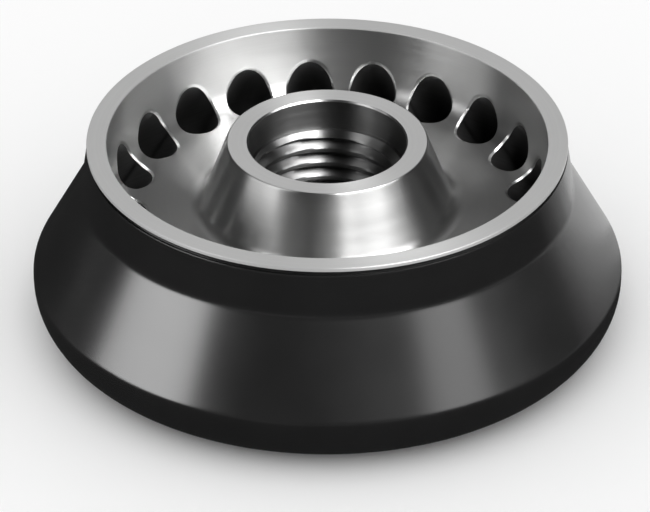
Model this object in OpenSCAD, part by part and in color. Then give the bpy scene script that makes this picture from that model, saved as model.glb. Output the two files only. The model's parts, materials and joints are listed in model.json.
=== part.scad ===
// Fixed angle rotor for microtubes: one turned body with a ring of inclined tube pockets,
// and two pressed drive pins underneath. +Z is up along the spin axis, the origin is the
// centre of the base plane, and all sizes are in millimetres and degrees.

/* [Outside] */
// Diameter over the widest part of the skirt
skirt_d = 90.2; // [87:0.1:96]
// Height from the base plane to the rim
height = 30.5; // [29.6:0.1:37]
// Diameter of the outer lip at the rim
rim_d = 73; // [71.6:0.1:74.8]
// Height of the outer lip
lip_h = 0.65; // [0.4:0.05:1.1]
// Width of the groove under the lip
groove_w = 0.65; // [0.4:0.05:1.1]
// Depth of the groove under the lip
groove_depth = 0.4; // [0.2:0.05:0.7]
// Diameter of the collar at the neck
neck_d = 75; // [74:0.1:77.6]
// Depth of the neck below the rim
neck_depth = 8; // [6.5:0.1:9.2]
// Radius of the fillet between collar and cone
neck_fillet = 1.9; // [0.5:0.1:2.8]
// Height of the cone's lower edge above the base
cone_foot_h = 8.6; // [8:0.1:10]
// Radius of the edge between cone and skirt band
skirt_edge_r = 1.4; // [0.2:0.1:1.8]
// Radius that rounds the skirt under to the base
base_round = 7.4; // [4.6:0.1:7.6]

/* [Bowl] */
// Width of the flat land on the rim
rim_land = 3; // [1.9:0.1:3.3]
// Slope of the bowl's wall from the horizontal
bowl_wall_angle = 81; // [79:1:84]
// Depth of the bowl's floor below the rim
bowl_depth = 11; // [10.6:0.1:11.4]
// Fillet between the bowl's wall and its floor
bowl_fillet = 3.5; // [2.8:0.1:3.8]
// Fillet between the hub's flank and the floor
hub_fillet = 2.5; // [1:0.1:3]
// Radius that breaks the edges of the lands
land_edge_r = 0.2; // [0.1:0.05:0.3]

/* [Hub and bore] */
// Diameter of the hub's top land
hub_d = 30.5; // [29.6:0.1:31.4]
// Drop from the rim to the hub's top land
hub_drop = 0.3; // [0:0.1:1.2]
// Half angle of the hub's conical flank
hub_flank_angle = 20.5; // [16:0.5:22]
// Diameter of the smooth counterbore at the mouth
counterbore_d = 24; // [23.8:0.1:25]
// Depth of the counterbore below the hub's land
counterbore_depth = 5; // [3:0.1:5.6]
// Width of the chamfer at the counterbore's mouth
mouth_chamfer = 0.25; // [0.1:0.05:0.4]
// Major diameter of the lid's thread, to the root of its grooves
thread_d = 23; // [22:0.1:23.2]
// Length of the threaded stretch
thread_length = 9.2; // [6:0.1:10]
// Diameter of the drive bore below the thread
drive_bore_d = 18; // [15:0.1:20]

/* [Tube pockets] */
// Number of tube pockets
pocket_count = 20; // [12:1:20]
// Diameter of a pocket
pocket_d = 7.2; // [6.4:0.1:7.3]
// Tilt of a pocket from the vertical
pocket_tilt = 30; // [28:1:32]
// Radius of the circle on which the pocket axes pass the level of the mouths
pocket_ring_r = 29.7; // [29.2:0.1:30]
// Depth of that level below the rim
pocket_mouth_depth = 7.6; // [7.2:0.1:7.8]
// Depth of a pocket along its axis, from the level of the mouths to its round bottom
pocket_depth = 18.2; // [15:0.1:18.6]
// Angle of the first pocket, anticlockwise from +X
pocket_phase = 94.9; // [0:0.1:360]

/* [Underside] */
// Diameter of the shallow relief turned into the base
relief_d = 61; // [56:0.5:65]
// Depth of that relief
relief_depth = 1.1; // [0.6:0.1:1.5]
// Diameter of the recess that sits over the drive hub
seat_d = 41; // [39:0.5:45]
// Depth of the drive recess above the base plane
seat_depth = 5.5; // [4:0.1:6]
// Radius of the recess corners
recess_fillet = 0.6; // [0.3:0.1:1]

/* [Drive pins] */
// Diameter of a drive pin's working end
pin_d = 3; // [2:0.1:3.2]
// Diameter of the shank that is pressed into the body
pin_shank_d = 3.6; // [3.4:0.1:4]
// Length of a drive pin
pin_length = 8; // [7:0.1:9]
// How far a pin stands into the drive recess
pin_reach = 3.5; // [2.5:0.1:4]
// Radius of the circle on which the pins stand
pin_ring_r = 15; // [13.8:0.1:16]
// Chamfer on the ends of a pin
pin_chamfer = 0.4; // [0.2:0.05:0.5]
// Depth left free above a pressed pin
pin_hole_spare = 0.3; // [0.1:0.1:1]

/* [Hidden] */
NODES = ["rotor_body", "drive_pin_1", "drive_pin_2"];
pin_count = len(NODES) - 1;

rim_r = rim_d / 2;
neck_r = neck_d / 2;
skirt_r = skirt_d / 2;
bowl_floor_z = height - bowl_depth;
bowl_mouth_r = rim_r - rim_land;
bowl_foot_r = bowl_mouth_r - bowl_depth / tan(bowl_wall_angle);
hub_r = hub_d / 2;
hub_top_z = height - hub_drop;
hub_foot_r = hub_r + (hub_top_z - bowl_floor_z) * tan(hub_flank_angle);
counterbore_r = counterbore_d / 2;
counterbore_z = hub_top_z - counterbore_depth;
thread_r = thread_d / 2;
thread_end_z = counterbore_z - thread_length;

// The mouths cross the corner between the bowl's wall and its floor.
pocket_r = pocket_d / 2;
pocket_mouth_z = height - pocket_mouth_depth;
pocket_clear_h = height;

pin_r = pin_d / 2;
pin_shank_r = pin_shank_d / 2;
pin_foot_z = seat_depth - pin_reach;

// Smallest turn between two points of a rounded corner, in degrees.
arc_step = 9;
$fn = 96;

// Unit vector along v.
function unit(v) = v / norm(v);

// The corner b between neighbours a and c, rounded to radius r as points on its arc.
function corner(a, b, c, r) =
    r <= 0 ? [b] :
    let (
        u = unit(a - b),
        v = unit(c - b),
        half = acos(u * v) / 2,
        reach = r / tan(half),
        centre = b + unit(u + v) * r / sin(half),
        from = b + u * reach - centre,
        to = b + v * reach - centre,
        start = atan2(from.y, from.x),
        turn = atan2(cross(from, to), from * to),
        steps = ceil(abs(turn) / arc_step)
    )
    [for (i = [0 : steps]) centre + r * [cos(start + turn * i / steps), sin(start + turn * i / steps)]];

// A closed outline of [radius, height, corner radius] with every corner rounded.
function rounded(outline) =
    let (n = len(outline))
    [for (i = [0 : n - 1])
        let (a = outline[(i + n - 1) % n], b = outline[i], c = outline[(i + 1) % n])
        each corner([a.x, a.y], [b.x, b.y], [c.x, c.y], b.z)];

// Half section of the body: up the outside, over the lip, round the bowl and the hub,
// down the bore and back along the underside.
body_outline = [
    [skirt_r, 0, base_round],
    [skirt_r, cone_foot_h, skirt_edge_r],
    [neck_r, height - neck_depth, neck_fillet],
    [rim_r, height - lip_h - groove_w, 0],
    [rim_r - groove_depth, height - lip_h - groove_w, 0],
    [rim_r - groove_depth, height - lip_h, 0],
    [rim_r, height - lip_h, 0],
    [rim_r, height, land_edge_r],
    [bowl_mouth_r, height, land_edge_r],
    [bowl_foot_r, bowl_floor_z, bowl_fillet],
    [hub_foot_r, bowl_floor_z, hub_fillet],
    [hub_r, hub_top_z, land_edge_r],
    [counterbore_r + mouth_chamfer, hub_top_z, 0],
    [counterbore_r, hub_top_z - mouth_chamfer, 0],
    [counterbore_r, counterbore_z, 0],
    [thread_r, counterbore_z, 0],
    [thread_r, thread_end_z, 0],
    [drive_bore_d / 2, thread_end_z, 0],
    [drive_bore_d / 2, seat_depth, 0],
    [seat_d / 2, seat_depth, recess_fillet],
    [seat_d / 2, relief_depth, 0],
    [relief_d / 2, relief_depth, recess_fillet],
    [relief_d / 2, 0, 0]
];

// Angle of pocket i around the spin axis.
function pocket_angle(i) = pocket_phase + 360 * i / pocket_count;

// The hollow of one pocket: a cylinder with a round bottom, leaning outwards as it goes down.
module pocket_hollow() {
    translate([pocket_ring_r, 0, pocket_mouth_z])
        rotate([0, -pocket_tilt, 0]) {
            translate([0, 0, pocket_r - pocket_depth])
                cylinder(r = pocket_r, h = pocket_depth - pocket_r + pocket_clear_h);
            translate([0, 0, pocket_r - pocket_depth])
                sphere(r = pocket_r);
        }
}

// The hole that a drive pin's shank is pressed into, opening into the recess.
module pin_hole() {
    translate([pin_ring_r, 0, pin_foot_z])
        cylinder(r = pin_shank_r, h = pin_length + pin_hole_spare);
}

// The turned body, drilled with its ring of pockets and its pin holes.
module rotor_body() {
    color("dimgray")
        difference() {
            rotate_extrude($fn = 180)
                polygon(rounded(body_outline));
            for (i = [0 : pocket_count - 1])
                rotate(pocket_angle(i))
                    pocket_hollow();
            for (i = [0 : pin_count - 1])
                rotate(360 * i / pin_count)
                    pin_hole();
        }
}

// A stepped dowel with chamfered ends; its shoulder is flush with the recess's roof.
module drive_pin(i) {
    color("lightgray")
        rotate(360 * i / pin_count)
            translate([pin_ring_r, 0, pin_foot_z])
                rotate_extrude()
                    polygon([
                        [0, 0],
                        [pin_r - pin_chamfer, 0],
                        [pin_r, pin_chamfer],
                        [pin_r, pin_reach],
                        [pin_shank_r, pin_reach],
                        [pin_shank_r, pin_length - pin_chamfer],
                        [pin_shank_r - pin_chamfer, pin_length],
                        [0, pin_length]
                    ]);
}

rotor_body();
drive_pin(0);  // drive_pin_1
drive_pin(1);  // drive_pin_2
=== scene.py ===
import json
import math

import bmesh
import bpy
import numpy as np
from mathutils import Matrix, Vector


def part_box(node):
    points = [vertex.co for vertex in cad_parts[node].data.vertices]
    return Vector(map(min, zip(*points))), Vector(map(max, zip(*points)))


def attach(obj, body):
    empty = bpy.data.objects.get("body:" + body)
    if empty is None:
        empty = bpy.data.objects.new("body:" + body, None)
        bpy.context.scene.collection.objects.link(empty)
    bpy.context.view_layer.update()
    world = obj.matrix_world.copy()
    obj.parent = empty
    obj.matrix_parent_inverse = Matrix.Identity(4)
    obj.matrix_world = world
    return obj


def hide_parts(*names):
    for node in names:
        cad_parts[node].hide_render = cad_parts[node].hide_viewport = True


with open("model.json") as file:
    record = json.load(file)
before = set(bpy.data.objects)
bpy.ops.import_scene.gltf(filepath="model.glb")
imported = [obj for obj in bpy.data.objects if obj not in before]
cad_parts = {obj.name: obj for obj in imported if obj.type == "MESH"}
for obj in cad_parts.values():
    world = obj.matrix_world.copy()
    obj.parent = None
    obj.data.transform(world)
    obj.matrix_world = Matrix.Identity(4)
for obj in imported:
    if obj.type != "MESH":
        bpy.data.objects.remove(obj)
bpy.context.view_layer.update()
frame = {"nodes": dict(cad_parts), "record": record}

mm = 0.001
tau = 2 * math.pi
scene = bpy.context.scene
mounts = {m["name"]: m for m in frame["record"]["mounts"]}
print("frame loaded:", sorted(frame["nodes"]))


class Value:
    # a node's output that works in plain sums; each operator adds one Math node
    def __init__(self, finish, socket):
        self.finish, self.socket = finish, socket

    def math(self, operation, *values):
        return self.finish.node("ShaderNodeMath", dict(operation=operation), dict(enumerate(values)))

    def __add__(self, other): return self.math("ADD", self, other)
    def __radd__(self, other): return self.math("ADD", other, self)
    def __sub__(self, other): return self.math("SUBTRACT", self, other)
    def __rsub__(self, other): return self.math("SUBTRACT", other, self)
    def __mul__(self, other): return self.math("MULTIPLY", self, other)
    def __rmul__(self, other): return self.math("MULTIPLY", other, self)
    def __abs__(self): return self.math("ABSOLUTE", self)

    def root(self): return self.math("SQRT", self)
    def top(self, other): return self.math("MAXIMUM", self, other)

    def ramp(self, low, high, start=0.0, end=1.0):
        # smooth step from start to end while the value goes from low to high
        settings = dict(interpolation_type="SMOOTHSTEP", clamp=True)
        values = {"Value": self, 1: low, 2: high, 3: start, 4: end}
        return self.finish.node("ShaderNodeMapRange", settings, values)

    def near(self, place, width):
        # 1 at the place, falling smoothly to 0 at a width from it
        return abs(self - place).ramp(0.0, width, 1.0, 0.0)


class Finish:
    # one material; node() takes a node's type, its settings and the values or links of its sockets
    def __init__(self, name, owner=None):
        self.owner = owner or bpy.data.materials.new(name)
        self.owner.use_nodes = True
        self.tree = self.owner.node_tree
        self.tree.nodes.clear()

    def node(self, kind, settings=None, values=None, out=0):
        made = self.tree.nodes.new(kind)
        for key, value in (settings or {}).items():
            setattr(made, key, value)
        for key, value in (values or {}).items():
            if isinstance(value, Value):
                self.tree.links.new(value.socket, made.inputs[key])
            else:
                made.inputs[key].default_value = value
        return Value(self, made.outputs[out] if len(made.outputs) else None)

    def mix(self, factor, a, b):
        # a colour between a and b; each is a grey level or a colour
        a, b = ((c, c, c, 1.0) if isinstance(c, float) else (*c, 1.0) for c in (a, b))
        return self.node("ShaderNodeMix", dict(data_type="RGBA"), {0: factor, 6: a, 7: b}, out=2)

    def place(self):
        # object coordinates in millimetres: the vector, the height, and the distance from the spin axis
        coords = self.node("ShaderNodeTexCoord", out=3)
        scaled = self.node("ShaderNodeVectorMath", dict(operation="SCALE"), {0: coords, 3: 1 / mm})
        parts = [self.node("ShaderNodeSeparateXYZ", {}, {0: scaled}, out=i) for i in range(3)]
        return scaled, parts[2], (parts[0] * parts[0] + parts[1] * parts[1]).root()

    def noise(self, vector, scale, detail=2.0):
        return self.node("ShaderNodeTexNoise", {}, {"Vector": vector, "Scale": scale, "Detail": detail})

    def noiseLine(self, along, scale, detail):
        # noise that varies with one number only, so on a turned part it makes rings
        values = {"W": along, "Scale": scale, "Detail": detail}
        return self.node("ShaderNodeTexNoise", dict(noise_dimensions="1D"), values)

    def bump(self, height, distance):
        return self.node("ShaderNodeBump", {}, {"Height": height, "Distance": distance})

    def shader(self, values, kind="ShaderNodeBsdfPrincipled"):
        made = self.node(kind, {}, values)
        self.node("ShaderNodeOutputMaterial", {}, {0: made})
        return self.owner


pocketMounts = [mounts[name] for name in sorted(mounts) if name.startswith("tube_pocket")]
low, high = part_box("rotor_body")

body = dict(
    height=high.z - low.z,
    skirtRadius=high.x,
    rimRadius=36.5 * mm,
    lipHeight=0.65 * mm,
    grooveWidth=0.65 * mm,
    grooveDepth=0.4 * mm,
    neckRadius=37.5 * mm,
    neckDepth=8.0 * mm,
    neckFillet=1.9 * mm,
    coneFoot=8.6 * mm,
    skirtEdge=1.4 * mm,
    baseRound=7.4 * mm,
    rimLand=3.0 * mm,
    wallSlope=math.radians(81),
    bowlDepth=11.0 * mm,
    bowlFillet=3.5 * mm,
    hubFillet=2.5 * mm,
    landEdge=0.2 * mm,
    fineShare=1 / 3,  # of landEdge, for the smallest edges
    hubRadius=15.25 * mm,
    hubDrop=0.3 * mm,
    flankAngle=math.radians(20.5),
    counterbore=mounts["lid_spigot_bore"]["dims"]["r_mm"] * mm,
    counterboreDepth=5.0 * mm,
    mouthChamfer=0.25 * mm,
    threadRadius=mounts["lid_thread"]["dims"]["r_mm"] * mm,
    threadLength=mounts["lid_thread"]["dims"]["length_mm"] * mm,
    threadPitch=2.5 * mm,
    threadHeight=1.2 * mm,
    threadCrest=0.12,  # half the crest, as a share of the pitch
    threadFoot=0.43,  # half the ridge at its foot, likewise
    threadRows=14,  # rows of the mesh to a turn
    driveBore=mounts["drive_bore"]["dims"]["r_mm"] * mm,
    seatRadius=20.5 * mm,
    seatDepth=5.5 * mm,
    reliefRadius=30.5 * mm,
    reliefDepth=1.1 * mm,
    recessFillet=0.6 * mm,
    columnsPerPocket=16,
    arcSag=0.008 * mm,  # how far an arc's chords may leave it
    longestStep=3.5 * mm,
    supportStep=0.3 * mm,
)

pocket = dict(
    count=len(pocketMounts),
    radius=pocketMounts[0]["dims"]["r_mm"] * mm,
    firstAngle=math.radians(94.9),
    tilt=math.acos(pocketMounts[0]["axis"][2]),
    ringRadius=29.7 * mm,
    mouthDepth=7.6 * mm,
    depth=18.2 * mm,
    chamfer=0.25 * mm,
    wallTop=3.9 * mm,
    floorEnd=25.4 * mm,
    sideSteps=20,
    domeRings=7,
    boreRings=8,
    searchFrom=-10 * mm,
    searchTo=5 * mm,
    halvings=40,
    mouthSteps=1440,
    sheetBlend=(0, 0.05, 0.16, 0.34, 0.62, 1.0),
)


def arc(before, here, after, radius, sag):
    # the corner as an arc: centre + radius * (cos a, sin a), where a turns from one tangent point
    # to the other
    u, v = before - here, after - here
    u, v = u / np.linalg.norm(u), v / np.linalg.norm(v)
    half = math.acos(float(u @ v)) / 2
    centre = here + (u + v) / np.linalg.norm(u + v) * radius / math.sin(half)
    first, last = (here + w * radius / math.tan(half) - centre for w in (u, v))
    start = math.atan2(first[1], first[0])
    turn = math.atan2(first[0] * last[1] - first[1] * last[0], float(first @ last))
    steps = max(2, math.ceil(abs(turn) * math.sqrt(radius / sag / 8)))
    angle = start + turn * np.linspace(0, 1, steps + 1)
    return centre + radius * np.stack([np.cos(angle), np.sin(angle)], -1)


def stretch(a, b, longest, support):
    # points from a to b, both left out: one close to each end, and even steps between them
    length = float(np.linalg.norm(b - a))
    if length < 3 * support:
        return np.empty((0, 2))
    inner = np.linspace(support, length - support, max(2, math.ceil(length / longest) + 1))
    return a + (b - a) * (inner / length)[:, None]


def roundedPath(corners, b):
    # an open path of (radius, height, corner radius, finish), rounded and filled in;
    # each step keeps its finish
    points = np.array([c[:2] for c in corners], float)
    runs = [points[:1]]
    for i in range(1, len(corners) - 1):
        r = corners[i][2]
        runs.append(arc(*points[i - 1:i + 2], r, b["arcSag"]) if r else points[i:i + 1])
    runs.append(points[-1:])
    path, finish = [runs[0]], [np.zeros(0, int)]
    for i in range(1, len(runs)):
        between = stretch(runs[i - 1][-1], runs[i][0], b["longestStep"], b["supportStep"])
        path += [between, runs[i]]
        finish.append(np.full(len(between) + len(runs[i]), corners[i][3]))
    return np.concatenate(path), np.concatenate(finish)


def gridFaces(rows, columns):
    # quads between neighbouring points of a rows x columns grid, counted row by row
    at = np.arange(rows * columns).reshape(rows, columns)
    return np.stack([at[:-1, :-1], at[:-1, 1:], at[1:, 1:], at[1:, :-1]], -1).reshape(-1, 4)


def pieceFromGrids(name, grids, finishes, sharp=28, weld=0.001 * mm):
    # joins grids into one closed mesh; a grid is its rows x columns of points
    # and the finish of each row step
    points, faces, kinds, offset = [], [], [], 0
    for grid, finish in grids:
        rows, columns = grid.shape[:2]
        points.append(grid.reshape(-1, 3))
        faces.append(gridFaces(rows, columns) + offset)
        kinds.append(np.repeat(np.broadcast_to(finish, rows - 1), columns - 1))
        offset += rows * columns
    points, faces, kinds = np.concatenate(points), np.concatenate(faces), np.concatenate(kinds)
    mesh = bpy.data.meshes.new(name)
    mesh.vertices.add(len(points))
    mesh.vertices.foreach_set("co", points.astype(np.float32).ravel())
    mesh.loops.add(faces.size)
    mesh.loops.foreach_set("vertex_index", faces.astype(np.int32).ravel())
    mesh.polygons.add(len(faces))
    mesh.polygons.foreach_set("loop_start", np.arange(0, faces.size, 4, dtype=np.int32))
    mesh.polygons.foreach_set("material_index", kinds.astype(np.int32))
    mesh.update(calc_edges=True)
    joined = bmesh.new()
    joined.from_mesh(mesh)
    bmesh.ops.remove_doubles(joined, verts=joined.verts, dist=weld)
    bmesh.ops.recalc_face_normals(joined, faces=joined.faces)
    joined.to_mesh(mesh)
    joined.free()
    mesh.shade_smooth()
    mesh.set_sharp_from_angle(angle=math.radians(sharp))
    for finish in finishes:
        mesh.materials.append(finish)
    piece = bpy.data.objects.new(name, mesh)
    scene.collection.objects.link(piece)
    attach(piece, "root")
    return piece


def turned(path, angles):
    # surface of revolution: (r cos a, r sin a, z) for every point of the path and every angle
    r, z = path[:, :1], path[:, 1:]
    return np.stack([r * np.cos(angles), r * np.sin(angles), z + 0 * angles], -1)


def threadRidge(z, angles, b, foot, top):
    # height of the thread's ridge: a trapezoid along z that climbs one pitch a turn,
    # cut at 45 degrees at both ends
    phase = (z - foot) / b["threadPitch"] - angles / tau
    away = np.abs(phase % 1 - 0.5)
    flank = np.clip((b["threadFoot"] - away) / (b["threadFoot"] - b["threadCrest"]), 0, 1)
    ends = np.clip(np.minimum(top - z, z - foot) / b["threadHeight"], 0, 1)
    return b["threadHeight"] * np.minimum(flank, ends)


class Bowl:
    # the section of the bowl where the pockets are drilled: down the wall, round the fillet
    # and in over the floor
    def __init__(self, b, p):
        self.slope = b["wallSlope"]
        self.run = 1 / math.tan(self.slope)
        self.top = b["height"] - p["wallTop"]
        self.floor = b["height"] - b["bowlDepth"]
        self.mouth = b["rimRadius"] - b["rimLand"]
        self.rim = b["height"]
        self.fillet = b["bowlFillet"]
        foot = self.wallRadius(self.floor)
        self.centre = (foot - self.fillet * math.tan(self.slope / 2), self.floor + self.fillet)
        self.wallEnd = self.centre[1] - self.fillet * math.cos(self.slope)
        self.wallLength = (self.top - self.wallEnd) / math.sin(self.slope)
        self.arcLength = self.fillet * self.slope
        self.length = self.wallLength + self.arcLength + self.centre[0] - p["floorEnd"]

    def wallRadius(self, z):
        return self.mouth - (self.rim - z) * self.run

    def section(self, s):
        # radius and height at a distance s from the top row: down the wall's line, round the arc
        # centre + fillet * (sin bend, -cos bend), and level over the floor
        turn = np.clip((s - self.wallLength) / self.fillet, 0, self.slope)
        onWall = np.minimum(s, self.wallLength)
        onFloor = np.maximum(s - self.wallLength - self.arcLength, 0)
        wallR = self.wallRadius(self.top) - onWall * math.cos(self.slope)
        wallZ = self.top - onWall * math.sin(self.slope)
        bend = self.slope - turn
        r = wallR + self.fillet * (np.sin(bend) - math.sin(self.slope)) - onFloor
        z = wallZ - self.fillet * (np.cos(bend) - math.cos(self.slope))
        return r, z

    def clear(self, r, z):
        # how far a point is inside the bowl's hollow; below zero it is in the metal
        a, c = r - self.centre[0], z - self.centre[1]
        inCorner = (a > 0) & (a * math.cos(self.slope) + c * math.sin(self.slope) < 0)
        wall = (self.wallRadius(z) - r) * math.sin(self.slope)
        return np.where(inCorner, self.fillet - np.hypot(a, c), np.minimum(wall, z - self.floor))

    def along(self, r, z):
        # the distance s of a point that lies on the section
        bend = np.clip(np.arctan2(r - self.centre[0], self.centre[1] - z), 0, self.slope)
        s = self.wallLength + self.fillet * (self.slope - bend)
        s = np.where(z > self.wallEnd, (self.top - z) / math.sin(self.slope), s)
        return s + np.maximum(self.centre[0] - r, 0)


def pocketPoints(radius, turn, h, b, p):
    # a point of the pocket in its own sector: mouth centre + radius (cos t, sin t) across the axis
    # + h along it
    across, side = radius * np.cos(turn), radius * np.sin(turn)
    x = p["ringRadius"] + across * math.cos(p["tilt"]) - h * math.sin(p["tilt"])
    z = b["height"] - p["mouthDepth"] + across * math.sin(p["tilt"]) + h * math.cos(p["tilt"])
    return np.stack([x, side + 0 * h, z], -1)


def mouthHeight(radius, turn, b, p, bowl):
    # halves an interval of h until the pocket's cylinder leaves the metal there
    under, over = np.full(turn.shape, p["searchFrom"]), np.full(turn.shape, p["searchTo"])
    for _ in range(p["halvings"]):
        middle = (under + over) / 2
        x, y, z = np.moveaxis(pocketPoints(radius, turn, middle, b, p), -1, 0)
        isClear = bowl.clear(np.hypot(x, y), z) > 0
        under, over = np.where(isClear, under, middle), np.where(isClear, middle, over)
    return over


def mouthPlaces(radius, turn, b, p, bowl):
    # where the mouth's edge lies in the bowl: its angle round the spin axis
    # and its distance along the section
    edge = pocketPoints(radius, turn, mouthHeight(radius, turn, b, p, bowl), b, p)
    x, y, z = np.moveaxis(edge, -1, 0)
    return np.arctan2(y, x), bowl.along(np.hypot(x, y), z)


def pocketGrid(b, p, bowl, pocketFinish, wallFinish):
    # one sector of the drilled bowl, from the pocket's round bottom out to the sector's edges
    halfSector = math.pi / p["count"]
    n, m = b["columnsPerPocket"], p["sideSteps"]
    across, down = np.linspace(-halfSector, halfSector, n + 1), np.linspace(0, bowl.length, m + 1)
    right, left = np.full(m, halfSector), np.full(m + 1, -halfSector)
    angle = np.concatenate([across[:-1], right, across[:0:-1], left])
    s = np.concatenate([np.zeros(n), down[:-1], np.full(n, bowl.length), down[::-1]])
    outer = p["radius"] + p["chamfer"]
    dense = np.linspace(-tau, tau, p["mouthSteps"] + 1)
    mouthAngle, mouthS = mouthPlaces(outer, dense, b, p, bowl)
    # a point of the sector's edge and its point on the mouth lie in the same direction
    # from the mouth's middle
    middle = (mouthS.min() + mouthS.max()) / 2
    seen = np.unwrap(np.arctan2(mouthAngle * p["ringRadius"], middle - mouthS))
    edge = np.arctan2(angle * p["ringRadius"], middle - s)
    turn = np.interp(edge, seen - seen[len(seen) // 2], dense)
    mouthAngle, mouthS = mouthPlaces(outer, turn, b, p, bowl)
    blend = np.array(p["sheetBlend"])[:, None]
    r, z = bowl.section(mouthS + (s - mouthS) * blend)
    ringAngle = mouthAngle + (angle - mouthAngle) * blend
    sheet = np.stack([r * np.cos(ringAngle), r * np.sin(ringAngle), z], -1)
    lean = np.linspace(-math.pi / 2, 0, p["domeRings"] + 1)[:, None]
    bottom = p["radius"] - p["depth"]
    rise = bottom + p["radius"] * np.sin(lean) + 0 * turn
    dome = pocketPoints(p["radius"] * np.cos(lean), turn, rise, b, p)
    lip = mouthHeight(p["radius"], turn, b, p, bowl) - p["chamfer"]
    climb = np.linspace(0, 1, p["boreRings"] + 1)[1:, None]
    bore = pocketPoints(p["radius"], turn, bottom + (lip - bottom) * climb, b, p)
    finish = np.repeat([pocketFinish, wallFinish], [len(dome) + len(bore) - 1, len(sheet)])
    return np.concatenate([dome, bore, sheet]), finish


def rotorPaths(b, bowl, floorEnd, coat, land, metal, bore):
    # the body's outline as open paths: in over the floor and the hub to the thread; then from the
    # thread's foot down the bore, out along the underside, up the outside and over the rim
    # to the drilled stretch of wall
    hubTop = b["height"] - b["hubDrop"]
    hubFoot = b["hubRadius"] + (hubTop - bowl.floor) * math.tan(b["flankAngle"])
    shoulder = hubTop - b["counterboreDepth"]
    threadEnd = shoulder - b["threadLength"]
    grooveTop = b["height"] - b["lipHeight"]
    grooveFoot = grooveTop - b["grooveWidth"]
    grooveRadius = b["rimRadius"] - b["grooveDepth"]
    edge = b["landEdge"]
    fine = edge * b["fineShare"]
    inner = [
        (floorEnd, bowl.floor, 0, metal),
        (hubFoot, bowl.floor, b["hubFillet"], metal),
        (b["hubRadius"], hubTop, edge, metal),
        (b["counterbore"] + b["mouthChamfer"], hubTop, fine, land),
        (b["counterbore"], hubTop - b["mouthChamfer"], fine, metal),
        (b["counterbore"], shoulder, 0, bore),
        (b["threadRadius"], shoulder, 0, bore),
    ]
    below = [
        (b["threadRadius"], threadEnd, 0, bore),
        (b["driveBore"], threadEnd, 0, bore),
        (b["driveBore"], b["seatDepth"], edge, bore),
        (b["seatRadius"], b["seatDepth"], b["recessFillet"], metal),
        (b["seatRadius"], b["reliefDepth"], edge, metal),
        (b["reliefRadius"], b["reliefDepth"], b["recessFillet"], coat),
        (b["reliefRadius"], 0, edge, coat),
        (b["skirtRadius"], 0, b["baseRound"], coat),
        (b["skirtRadius"], b["coneFoot"], b["skirtEdge"], coat),
        (b["neckRadius"], b["height"] - b["neckDepth"], b["neckFillet"], coat),
        (b["rimRadius"], grooveFoot, fine, coat),
        (grooveRadius, grooveFoot, fine, coat),
        (grooveRadius, grooveTop, fine, coat),
        (b["rimRadius"], grooveTop, fine, coat),
        (b["rimRadius"], b["height"], edge, land),
        (bowl.mouth, b["height"], edge, land),
        (bowl.wallRadius(bowl.top), bowl.top, 0, metal),
    ]
    return roundedPath(inner, b), roundedPath(below, b), threadEnd, shoulder


def makeRotor(b, p, finishes):
    coat, land, metal, bore, dark = range(5)
    bowl = Bowl(b, p)
    inner, below, foot, top = rotorPaths(b, bowl, p["floorEnd"], coat, land, metal, bore)
    columns = b["columnsPerPocket"] * p["count"]
    angles = p["firstAngle"] - math.pi / p["count"] + tau * np.arange(columns + 1) / columns
    heights = np.linspace(top, foot, round((top - foot) / b["threadPitch"] * b["threadRows"]) + 1)
    thread = turned(np.stack([np.full(len(heights), b["threadRadius"]), heights], -1), angles)
    ridge = threadRidge(heights[:, None], angles - angles[0], b, foot, top)
    thread[..., :2] *= (1 - ridge / b["threadRadius"])[..., None]
    grids = [(turned(path, angles), finish) for path, finish in (inner, below)]
    grids.insert(1, (thread, bore))
    # the pockets take the dark finish, whose darker tone is painted shade
    sector, finish = pocketGrid(b, p, bowl, dark, metal)
    for i in range(p["count"]):
        a = p["firstAngle"] + tau * i / p["count"]
        spin = np.array([[math.cos(a), math.sin(a), 0], [-math.sin(a), math.cos(a), 0], [0, 0, 1]])
        grids.append((sector @ spin, finish))
    rotor = pieceFromGrids("rotor", grids, finishes)
    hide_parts("rotor_body")
    print("rotor:", len(rotor.data.polygons), "faces")


pin = dict(
    count=mounts["drive_pins"]["dims"]["count"],
    ringRadius=mounts["drive_pins"]["dims"]["pcd_mm"] / 2 * mm,
    foot=2.0 * mm,
    reach=3.5 * mm,
    length=8.0 * mm,
    radius=mounts["drive_pins"]["dims"]["stud_r_mm"] * mm,
    shankRadius=1.8 * mm,
    chamfer=0.4 * mm,
    edge=0.1 * mm,
    columns=48,
    arcSag=0.01 * mm,
    longestStep=2.0 * mm,
    supportStep=0.1 * mm,
)


def makePin(i, p, finish):
    # a stepped dowel, turned about its own axis and closed at both ends
    foot, shoulder, end = p["foot"], p["foot"] + p["reach"], p["foot"] + p["length"]
    c = p["chamfer"]
    corners = [
        (0, foot, 0, 0),
        (p["radius"] - c, foot, p["edge"], 0),
        (p["radius"], foot + c, p["edge"], 0),
        (p["radius"], shoulder, 0, 0),
        (p["shankRadius"], shoulder, 0, 0),
        (p["shankRadius"], end - c, 0, 0),
        (p["shankRadius"] - c, end, 0, 0),
        (0, end, 0, 0),
    ]
    path, kinds = roundedPath(corners, p)
    grid = turned(path, tau * np.arange(p["columns"] + 1) / p["columns"])
    grid[..., 0] += p["ringRadius"] * math.cos(tau * i / p["count"])
    piece = pieceFromGrids("pin_%d" % (i + 1), [(grid, kinds)], [finish])
    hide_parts("drive_pin_%d" % (i + 1))


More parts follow.
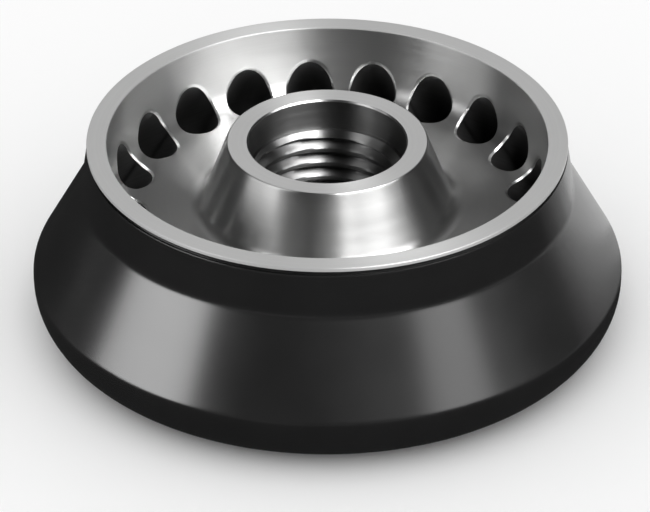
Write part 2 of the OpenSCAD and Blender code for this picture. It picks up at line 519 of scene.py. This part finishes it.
def turnedMetal(name, look):
    # bare turned metal: fine rings around the axis stretch each highlight across them
    f = Finish(name)
    place, height, radius = f.place()
    along = radius + height * look["heightShare"]
    rings = f.noiseLine(along, look["ringScale"], look["ringDetail"])
    broad = f.noiseLine(along, look["broadScale"], look["broadDetail"])
    cloud = f.noise(place, look["cloudScale"])
    tone = look["tone"] + (rings - 0.5) * look["ringTone"] + (cloud - 0.5) * look["cloudTone"]
    colour = f.mix(tone, 0.0, look["brightest"])
    rough = look["rough"] + (cloud - 0.5) * look["cloudRough"] + (broad - 0.5) * look["ringRough"]
    normal = f.bump(rings + broad, look["ringDepth"] * mm)
    return f.shader({
        "Base Color": colour, "Metallic": look["metallic"], "Roughness": rough, "Normal": normal,
        "Anisotropic": look["stretch"], "Anisotropic Rotation": look["stretchTurn"],
    })


bareLook = dict(
    tone=0.64, brightest=(0.86, 0.86, 0.855), heightShare=1.4,
    ringScale=2.2, ringDetail=3.0, broadScale=0.5, broadDetail=1.0, cloudScale=0.12,
    ringTone=0.035, cloudTone=0.04, rough=0.34, cloudRough=0.04, ringRough=0.05,
    ringDepth=0.002, stretch=0.9, stretchTurn=0.25, metallic=1.0,
)
landLook = dict(bareLook, tone=0.66, metallic=0.25, rough=0.4, ringTone=0.05)
# a darker copy of the bare metal: painted shade inside the counterbore, the thread and the drive bore
boreShadeLook = dict(bareLook, tone=0.24)
# a much darker copy of the bare metal: painted shade deep in the tube pockets
pocketShadeLook = dict(bareLook, tone=0.12, rough=0.5, stretch=0.3)
pinLook = dict(bareLook, tone=0.8, ringScale=8.0, rough=0.25, stretch=0.4)
coatLook = dict(
    dark=0.005, light=0.011, rough=0.24, roughSpread=0.05, ior=2.4,
    # the last share and the edge values below set the painted highlight lines on the skirt's edge and the
    # neck
    grainScale=7.0, grainDetail=3.0, grainDepth=0.0015, cloudScale=0.09, cloudShare=0.7, paintedHighlightShare=0.3,
    edgeWidth=0.9, edgeFrom=43.5, edgeTo=44.3,
)


def blackCoat(name, look):
    # satin black over turned metal: a fine grain, faint clouds, and paler lines along the skirt's edge and
    # the neck fillet, which are painted highlights
    f = Finish(name)
    place, height, radius = f.place()
    grain = f.noise(place, look["grainScale"], look["grainDetail"])
    cloud = f.noise(place, look["cloudScale"])
    # a paler base colour along the skirt's lower edge and the neck fillet: painted highlight lines
    skirtLine = height.near(body["coneFoot"] / mm, look["edgeWidth"])
    skirtEdge = skirtLine * radius.ramp(look["edgeFrom"], look["edgeTo"])
    neckHighlight = height.near((body["height"] - body["neckDepth"]) / mm, look["edgeWidth"])
    paintedHighlight = skirtEdge.top(neckHighlight)
    colour = f.mix(cloud * look["cloudShare"] + paintedHighlight * look["paintedHighlightShare"], look["dark"], look["light"])
    rough = look["rough"] + (cloud - 0.5) * look["roughSpread"]
    normal = f.bump(grain, look["grainDepth"] * mm)
    return f.shader({
        "Base Color": colour, "Roughness": rough, "Normal": normal, "IOR": look["ior"],
    })


finishes = [
    blackCoat("satin_black", coatLook),
    turnedMetal("turned_land", landLook),
    turnedMetal("turned_metal", bareLook),
    # the next two are darker copies of the bare metal, with painted shade in the bores
    turnedMetal("threaded_bore", boreShadeLook),
    turnedMetal("pocket_bore", pocketShadeLook),
]
makeRotor(body, pocket, finishes)
pinFinish = turnedMetal("ground_pin", pinLook)
for i in range(pin["count"]):
    makePin(i, pin, pinFinish)
print("pieces made")


studio = dict(
    floorSize=3.0,
    floorTone=0.985,
    floorRough=0.9,
    distance=909.1 * mm,
    elevation=math.radians(31.3),
    lens=332.3,
    farthest=20,
    roll=math.radians(-0.15),
    aimAside=-0.38 * mm,
    aimLower=17.7 * mm,
    cardRadius=1.6,
    cardSteps=24,
    tentAzimuth=(-180, 180),
    tentElevation=(0.5, 89.9),
    tentRadius=1.8,
    tentLevel=0.02,
    # the dark sheets below paint a dark reflection of the floor round the part
    darkReflectionRadii=(1 * mm, 1.5),
    darkReflectionHeight=0.05 * mm,
    darkReflectionSteps=48,
    floorHeight=-0.02 * mm,
    skyLevel=1.0,
)


def makeCamera(s):
    # stands away from the middle of the rim, and aims a little below it so that the part fills the frame
    rim = Vector((0, 0, body["height"]))
    back = Vector((0, -math.cos(s["elevation"]), math.sin(s["elevation"])))
    up = Vector((0, math.sin(s["elevation"]), math.cos(s["elevation"])))
    place = rim + back * s["distance"]
    aim = rim - up * s["aimLower"] + Vector((s["aimAside"], 0, 0))
    camera = bpy.data.objects.new("camera", bpy.data.cameras.new("camera"))
    scene.collection.objects.link(camera)
    camera.data.lens = s["lens"]
    camera.data.clip_end = s["farthest"]
    turn = (aim - place).to_track_quat("-Z", "Y").to_matrix() @ Matrix.Rotation(s["roll"], 3, "Z")
    camera.matrix_world = Matrix.Translation(place) @ turn.to_4x4()
    scene.camera = camera


def makeStage(name, grid):
    # a sheet of the studio, from its grid of points
    mesh = bpy.data.meshes.new(name)
    mesh.from_pydata(grid.reshape(-1, 3).tolist(), [], gridFaces(*grid.shape[:2]).tolist())
    sheet = bpy.data.objects.new(name, mesh)
    scene.collection.objects.link(sheet)
    return sheet


def makeCard(name, azimuth, elevation, level, radius, s):
    # a patch of a sphere round the part, seen by reflections alone:
    # radius * (cos e cos a, cos e sin a, sin e)
    a = np.radians(np.linspace(*azimuth, s["cardSteps"]))
    e = np.radians(np.linspace(*elevation, s["cardSteps"]))[:, None]
    grid = radius * np.stack([np.cos(e) * np.cos(a), np.cos(e) * np.sin(a), np.sin(e) + 0 * a], -1)
    asCard(makeStage(name, grid), level)


def asCard(sheet, level):
    # a glowing sheet that only reflections see
    sheet.visible_camera = False
    sheet.visible_diffuse = False
    sheet.visible_shadow = False
    glow = Finish(sheet.name).shader({"Color": (1, 1, 1, 1), "Strength": level}, "ShaderNodeEmission")
    sheet.data.materials.append(glow)


def square(half, height):
    # a flat square: its four corners as a 2 x 2 grid
    return np.array([[(x, y, height) for x in (-half, half)] for y in (-half, half)])


def fan(radii, azimuth, height, steps):
    # a flat part of a ring round the axis: (r cos a, r sin a, height)
    a = np.radians(np.linspace(*azimuth, steps))
    r = np.array(radii)[:, None]
    return np.stack([r * np.cos(a), r * np.sin(a), height + 0 * r * a], -1)


# each card: the range of its azimuth and of its elevation in degrees, and its level
cards = dict(
    leftBox=((-182, -142), (6, 26), 2.6),
    leftHigh=((-164, -136), (28, 60), 2.4),
    rightFront=((-52, -28), (10, 30), 0.9),
    rightHigh=((-74, -14), (44, 72), 18.0),
    rightSide=((-38, -2), (29, 44), 9.0),
    rearSheet=((60, 120), (34, 56), 0.4),
)

# dark sheets on the floor that only reflections see, painting a dark reflection of the floor round the
# part:
# the range of azimuth in degrees and the level of each; the floor itself shows in reflections in the gap
# that they leave
darkReflections = (
    ((98, 367), 0.03),
    ((89, 98), 0.12),
    ((80, 89), 0.28),
    ((71, 80), 0.55),
    ((22, 30), 0.55),
    ((14, 22), 0.28),
    ((7, 14), 0.12),
)

makeCamera(studio)
makeCard("dark_tent", studio["tentAzimuth"], studio["tentElevation"],
         studio["tentLevel"], studio["tentRadius"], studio)
for name, (azimuth, elevation, level) in cards.items():
    makeCard(name, azimuth, elevation, level, studio["cardRadius"], studio)

world = bpy.data.worlds.new("studio")
scene.world = world
sky = Finish("studio", world)
rays = "ShaderNodeLightPath"
# camera, glossy and transmission rays see white
seen = sky.node(rays, out=0) + sky.node(rays, out=3) + sky.node(rays, out=6)
strength = seen.ramp(0.0, 1.0, studio["skyLevel"], 1.0)
background = sky.node("ShaderNodeBackground", {}, {"Color": (1, 1, 1, 1), "Strength": strength})
sky.node("ShaderNodeOutputWorld", {}, {0: background})

floor = makeStage("floor", square(studio["floorSize"], studio["floorHeight"]))
white = Finish("white_floor")
tone, rough = studio["floorTone"], studio["floorRough"]
paint = white.shader({"Base Color": (tone, tone, tone, 1), "Roughness": rough, "Specular IOR Level": 0.0})
floor.data.materials.append(paint)
# each dark sheet is seen by reflections alone: a painted dark reflection
for number, (azimuth, level) in enumerate(darkReflections, 1):
    darkReflection = fan(studio["darkReflectionRadii"], azimuth, studio["darkReflectionHeight"], studio["darkReflectionSteps"])
    asCard(makeStage("mat_%d" % number, darkReflection), level)
print("studio made:", len(cards), "cards,", len(darkReflections), "darkReflections")

scene.view_settings.view_transform = "Standard"
